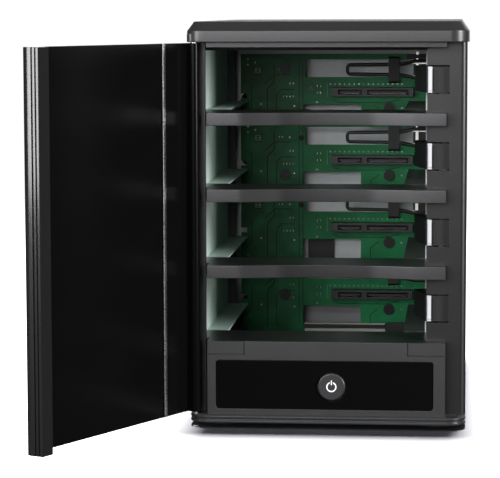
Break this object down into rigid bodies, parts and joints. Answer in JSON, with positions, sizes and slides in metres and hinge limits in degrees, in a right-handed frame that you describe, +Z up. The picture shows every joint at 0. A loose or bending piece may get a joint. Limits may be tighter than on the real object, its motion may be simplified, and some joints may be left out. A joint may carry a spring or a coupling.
{
  "type": "nas enclosure",
  "caption": "Upright network storage enclosure with a side-hinged front door, stacked trayless drive bays, push latches, backplane and rear fan.",
  "frame": {"origin": "centre of the underside of the base plate; the rubber feet reach 2.4 mm below it", "axes": "+Z up, +Y to the back (the door side faces -Y), +X to the right seen from the front"},
  "size_m": [0.1886, 0.3289, 0.191],
  "materials": {
    "case_aluminium": "satin anodised dark grey",
    "bezel_plastic": "fine matte dark grey",
    "lens_plastic": "glossy black",
    "white_ink": "printed white",
    "zinc_sheet": "zinc plated, dull",
    "board_green": "solder mask",
    "black_plastic": "moulded black",
    "black_wire": "black formed wire",
    "steel": "nickel plated",
    "contact_gold": "gold plated",
    "white_plastic": "moulded white",
    "rubber": "matte"
  },
  "bodies": {
    "case": {"backplane_board": "board_green", "backplane_screws": "steel", "base_plate": "case_aluminium", "board_socket": "white_plastic", "cage_floor_plate": "zinc_sheet", "cage_left_wall": "zinc_sheet", "cage_right_wall": "zinc_sheet", "cage_top_plate": "zinc_sheet", "column_magnet": "zinc_sheet", "cross_bar_1": "bezel_plastic", "cross_bar_2": "bezel_plastic", "cross_bar_3": "bezel_plastic", "dc_inlet": "black_plastic", "duct_plate": "zinc_sheet", "ejector_rod": "steel", "ethernet_port": "zinc_sheet", "fan_frame": "black_plastic", "fan_guard": "steel", "front_bezel": "bezel_plastic", "front_board": "board_green", "hinge_pins": "steel", "latch_springs": "steel", "left_side_panel": "case_aluminium", "main_board": "board_green", "power_switch": "black_plastic", "rear_panel": "case_aluminium", "rear_screws": "steel", "right_side_panel": "case_aluminium", "rubber_feet": "rubber", "sata_connector_1": "black_plastic", "sata_connector_2": "black_plastic", "sata_connector_3": "black_plastic", "sata_connector_4": "black_plastic", "sata_contacts": "contact_gold", "top_cap": "case_aluminium", "usb_ports": "zinc_sheet", "window_lens": "lens_plastic"},
    "door": {"door_hinge_rail": "case_aluminium", "door_panel": "case_aluminium", "door_edge_rail": "case_aluminium", "door_magnet": "zinc_sheet"},
    "power_button": {"power_button": "bezel_plastic", "power_icon": "white_ink"},
    "latch_1": {"latch_1": "black_plastic"},
    "ejector_1": {"ejector_wire_1": "black_wire", "ejector_hub_1": "black_plastic", "ejector_pad_1": "black_plastic"},
    "latch_2": {"latch_2": "black_plastic"},
    "ejector_2": {"ejector_wire_2": "black_wire", "ejector_hub_2": "black_plastic", "ejector_pad_2": "black_plastic"},
    "latch_3": {"latch_3": "black_plastic"},
    "ejector_3": {"ejector_wire_3": "black_wire", "ejector_hub_3": "black_plastic", "ejector_pad_3": "black_plastic"},
    "latch_4": {"latch_4": "black_plastic"},
    "ejector_4": {"ejector_wire_4": "black_wire", "ejector_hub_4": "black_plastic", "ejector_pad_4": "black_plastic"},
    "fan_rotor": {"fan_rotor": "black_plastic"}
  },
  "joints": [
    {"name": "door_hinge", "type": "hinge", "parent": "case", "child": "door", "pos_m": [-0.0626, -0.1043, 0.0913], "axis": [0, 0, -1], "range_deg": [-116.5, 18.5]},
    {"name": "power_button_press", "type": "slide", "parent": "case", "child": "power_button", "axis": [0, 1, 0], "range_m": [0, 0.0012], "stiffness_N_per_m": 250, "springref_m": -0.004},
    {"name": "latch_1_slide", "type": "slide", "parent": "case", "child": "latch_1", "axis": [1, 0, 0], "range_m": [0, 0.0048], "stiffness_N_per_m": 300, "springref_m": -0.003, "deforming": ["latch_springs"]},
    {"name": "latch_2_slide", "type": "slide", "parent": "case", "child": "latch_2", "axis": [1, 0, 0], "range_m": [0, 0.0048], "stiffness_N_per_m": 300, "springref_m": -0.003, "deforming": ["latch_springs"]},
    {"name": "latch_3_slide", "type": "slide", "parent": "case", "child": "latch_3", "axis": [1, 0, 0], "range_m": [0, 0.0048], "stiffness_N_per_m": 300, "springref_m": -0.003, "deforming": ["latch_springs"]},
    {"name": "latch_4_slide", "type": "slide", "parent": "case", "child": "latch_4", "axis": [1, 0, 0], "range_m": [0, 0.0048], "stiffness_N_per_m": 300, "springref_m": -0.003, "deforming": ["latch_springs"]},
    {"name": "ejector_1_swing", "type": "hinge", "parent": "case", "child": "ejector_1", "pos_m": [0.0495, 0.0444, 0.1624], "axis": [0, 0, 1], "range_deg": [0, 13.6]},
    {"name": "ejector_2_swing", "type": "hinge", "parent": "case", "child": "ejector_2", "pos_m": [0.0495, 0.0444, 0.1265], "axis": [0, 0, 1], "range_deg": [0, 13.6]},
    {"name": "ejector_3_swing", "type": "hinge", "parent": "case", "child": "ejector_3", "pos_m": [0.0495, 0.0444, 0.0906], "axis": [0, 0, 1], "range_deg": [0, 13.6]},
    {"name": "ejector_4_swing", "type": "hinge", "parent": "case", "child": "ejector_4", "pos_m": [0.0495, 0.0444, 0.0547], "axis": [0, 0, 1], "range_deg": [0, 13.6]},
    {"name": "fan_spin", "type": "hinge", "parent": "case", "child": "fan_rotor", "pos_m": [0, 0.092, 0.1096], "axis": [0, 1, 0], "continuous": true}
  ],
  "couplings": [
    {"joint": "ejector_1_swing", "follows": "latch_1_slide", "rad_per_m": 49},
    {"joint": "ejector_2_swing", "follows": "latch_2_slide", "rad_per_m": 49},
    {"joint": "ejector_3_swing", "follows": "latch_3_slide", "rad_per_m": 49},
    {"joint": "ejector_4_swing", "follows": "latch_4_slide", "rad_per_m": 49}
  ]
}
